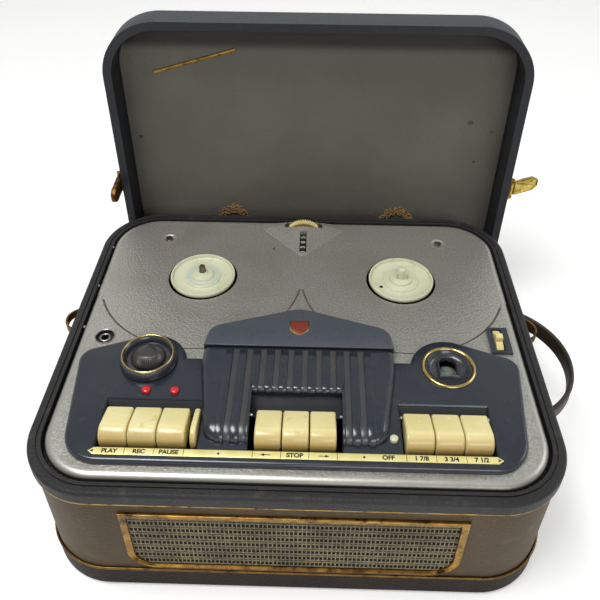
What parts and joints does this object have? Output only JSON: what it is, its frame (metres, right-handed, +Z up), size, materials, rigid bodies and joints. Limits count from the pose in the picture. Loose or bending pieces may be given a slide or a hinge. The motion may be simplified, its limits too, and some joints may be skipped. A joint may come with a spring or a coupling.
{
  "type": "reel-to-reel tape recorder",
  "caption": "Portable reel-to-reel tape recorder in a leathercloth case with its lid off: platters, piano keys, tuning eye, dual knob, ribbed head cover, speaker grille and side handle.",
  "frame": {"origin": "middle of the case's flat underside, on the table", "axes": "+X to the user's right, +Y to the back, +Z up"},
  "size_m": [0.4475, 0.3677, 0.329],
  "materials": {
    "covering_dark": "grained leathercloth over wood",
    "covering_taupe": "grained leathercloth over wood",
    "brass": "aged satin brass",
    "speaker_cloth": "woven speaker cloth",
    "dark_metal": "dark lacquer",
    "strap_leather": "worn dark leather",
    "deck_paint": "silver hammertone",
    "steel": "plain steel",
    "slate_plastic": "semi-gloss moulding",
    "badge_red": "gloss",
    "black_plastic": "satin",
    "glass": "clear",
    "cream_plastic": "gloss",
    "red_plastic": "gloss",
    "knob_dark": "semi-gloss",
    "lining_cloth": "felt-like lining",
    "rubber": "matt"
  },
  "bodies": {
    "case": {"base_tray": "covering_dark", "case_body": "covering_taupe", "rim_band": "covering_dark", "case_trims": "brass", "grille_frame": "brass", "grille_cloth": "speaker_cloth", "loudspeaker": "dark_metal", "lid_catches": "brass", "handle_brackets": "brass", "handle_strap": "strap_leather", "deck_plate": "deck_paint", "deck_screws": "steel", "control_panel": "slate_plastic", "head_cover_rear": "slate_plastic", "head_cover_front": "slate_plastic", "badge": "badge_red", "label_strip": "brass", "eye_bezel": "brass", "eye_dish": "black_plastic", "eye_tube": "glass", "jack_socket": "black_plastic", "switch_bezel": "slate_plastic", "key_rod": "steel", "deck_brackets": "steel", "chassis": "steel", "motor": "dark_metal", "drive_belt": "rubber", "tape_heads": "steel", "amplifier": "steel", "valves": "glass", "volume_control": "steel"},
    "lid": {"lid_shell": "covering_dark", "lid_lining": "lining_cloth", "latch_hinges": "brass"},
    "latch_left": {"latch_left": "brass"},
    "latch_right": {"latch_right": "brass"},
    "supply_reel": {"supply_platter": "cream_plastic", "supply_spindle": "steel"},
    "takeup_reel": {"takeup_platter": "cream_plastic"},
    "counter": {"counter_drums": "black_plastic", "counter_wheel": "cream_plastic"},
    "volume": {"volume_knob": "knob_dark"},
    "tone": {"tone_knob": "knob_dark"},
    "rocker": {"switch_rocker": "cream_plastic"},
    "flywheel": {"flywheel": "steel"},
    "pulley": {"motor_pulley": "brass"},
    "pinch": {"pinch_roller": "rubber"},
    "off_button": {"off_button": "cream_plastic"},
    "red_left": {"red_button_left": "red_plastic"},
    "red_right": {"red_button_right": "red_plastic"},
    "lever": {"side_lever": "cream_plastic"},
    "key_play": {"key_play": "cream_plastic"},
    "key_record": {"key_record": "cream_plastic"},
    "key_pause": {"key_pause": "cream_plastic"},
    "key_rewind": {"key_rewind": "cream_plastic"},
    "key_stop": {"key_stop": "cream_plastic"},
    "key_forward": {"key_forward": "cream_plastic"},
    "key_slow": {"key_slow": "cream_plastic"},
    "key_middle": {"key_middle": "cream_plastic"},
    "key_fast": {"key_fast": "cream_plastic"}
  },
  "joints": [
    {"name": "lid_lift", "type": "slide", "parent": "case", "child": "lid", "axis": [0, 0, 1], "range_m": [0, 0.14]},
    {"name": "latch_left_turn", "type": "hinge", "parent": "lid", "child": "latch_left", "pos_m": [-0.1908, 0.176, 0.1565], "axis": [0, 0, 1], "range_deg": [-160, 0]},
    {"name": "latch_right_turn", "type": "hinge", "parent": "lid", "child": "latch_right", "pos_m": [0.2118, 0.176, 0.1565], "axis": [0, 0, 1], "range_deg": [-115, 45]},
    {"name": "supply_spin", "type": "hinge", "parent": "case", "child": "supply_reel", "pos_m": [-0.092, 0.063, 0.126], "axis": [0, 0, 1], "continuous": true},
    {"name": "takeup_spin", "type": "hinge", "parent": "case", "child": "takeup_reel", "pos_m": [0.092, 0.063, 0.126], "axis": [0, 0, 1], "continuous": true},
    {"name": "counter_spin", "type": "hinge", "parent": "case", "child": "counter", "pos_m": [0, 0.12, 0.1165], "axis": [0, 1, 0], "continuous": true},
    {"name": "volume_turn", "type": "hinge", "parent": "case", "child": "volume", "pos_m": [-0.12, -0.048, 0.132], "axis": [0, 0, 1], "range_deg": [-140, 140]},
    {"name": "tone_turn", "type": "hinge", "parent": "case", "child": "tone", "pos_m": [-0.12, -0.048, 0.132], "axis": [0, 0, 1], "range_deg": [-140, 140]},
    {"name": "rocker_tilt", "type": "hinge", "parent": "case", "child": "rocker", "pos_m": [0.1668, -0.0136, 0.1253], "axis": [1, 0, 0], "range_deg": [-6, 6]},
    {"name": "flywheel_spin", "type": "hinge", "parent": "case", "child": "flywheel", "pos_m": [0.03, -0.0345, 0.09], "axis": [0, 0, 1], "continuous": true},
    {"name": "pulley_spin", "type": "hinge", "parent": "case", "child": "pulley", "pos_m": [-0.06, -0.02, 0.09], "axis": [0, 0, 1], "continuous": true},
    {"name": "pinch_swing", "type": "hinge", "parent": "case", "child": "pinch", "pos_m": [0.054, -0.058, 0.128], "axis": [0, 0, 1], "range_deg": [-13.5, 0]},
    {"name": "key_play_press", "type": "hinge", "parent": "case", "child": "key_play", "pos_m": [0, -0.064, 0.1188], "axis": [1, 0, 0], "range_deg": [0, 4.5], "stiffness_Nm_per_rad": 0.6, "springref_deg": -4.58},
    {"name": "key_record_press", "type": "hinge", "parent": "case", "child": "key_record", "pos_m": [0, -0.064, 0.1188], "axis": [1, 0, 0], "range_deg": [0, 4.5], "stiffness_Nm_per_rad": 0.6, "springref_deg": -4.58},
    {"name": "key_pause_press", "type": "hinge", "parent": "case", "child": "key_pause", "pos_m": [0, -0.064, 0.1188], "axis": [1, 0, 0], "range_deg": [0, 4.5], "stiffness_Nm_per_rad": 0.6, "springref_deg": -4.58},
    {"name": "key_rewind_press", "type": "hinge", "parent": "case", "child": "key_rewind", "pos_m": [0, -0.064, 0.1188], "axis": [1, 0, 0], "range_deg": [0, 4.5], "stiffness_Nm_per_rad": 0.6, "springref_deg": -4.58},
    {"name": "key_stop_press", "type": "hinge", "parent": "case", "child": "key_stop", "pos_m": [0, -0.064, 0.1188], "axis": [1, 0, 0], "range_deg": [0, 4.5], "stiffness_Nm_per_rad": 0.6, "springref_deg": -4.58},
    {"name": "key_forward_press", "type": "hinge", "parent": "case", "child": "key_forward", "pos_m": [0, -0.064, 0.1188], "axis": [1, 0, 0], "range_deg": [0, 4.5], "stiffness_Nm_per_rad": 0.6, "springref_deg": -4.58},
    {"name": "key_slow_press", "type": "hinge", "parent": "case", "child": "key_slow", "pos_m": [0, -0.064, 0.1188], "axis": [1, 0, 0], "range_deg": [0, 4.5], "stiffness_Nm_per_rad": 0.6, "springref_deg": -4.58},
    {"name": "key_middle_press", "type": "hinge", "parent": "case", "child": "key_middle", "pos_m": [0, -0.064, 0.1188], "axis": [1, 0, 0], "range_deg": [0, 4.5], "stiffness_Nm_per_rad": 0.6, "springref_deg": -4.58},
    {"name": "key_fast_press", "type": "hinge", "parent": "case", "child": "key_fast", "pos_m": [0, -0.064, 0.1188], "axis": [1, 0, 0], "range_deg": [0, 4.5], "stiffness_Nm_per_rad": 0.6, "springref_deg": -4.58},
    {"name": "lever_press", "type": "hinge", "parent": "case", "child": "lever", "pos_m": [0, -0.064, 0.1188], "axis": [1, 0, 0], "range_deg": [0, 4.5], "stiffness_Nm_per_rad": 0.6, "springref_deg": -4.58},
    {"name": "off_button_push", "type": "slide", "parent": "case", "child": "off_button", "axis": [0, 0, -1], "range_m": [0, 0.003], "stiffness_N_per_m": 300, "springref_m": -0.002},
    {"name": "red_left_push", "type": "slide", "parent": "case", "child": "red_left", "axis": [0, 0, -1], "range_m": [0, 0.002], "stiffness_N_per_m": 300, "springref_m": -0.002},
    {"name": "red_right_push", "type": "slide", "parent": "case", "child": "red_right", "axis": [0, 0, -1], "range_m": [0, 0.002], "stiffness_N_per_m": 300, "springref_m": -0.002}
  ],
  "couplings": [
    {"joint": "counter_spin", "follows": "takeup_spin", "ratio": 0.5},
    {"joint": "pulley_spin", "follows": "flywheel_spin", "ratio": 5.0667},
    {"joint": "pinch_swing", "follows": "key_play_press", "ratio": -3}
  ]
}
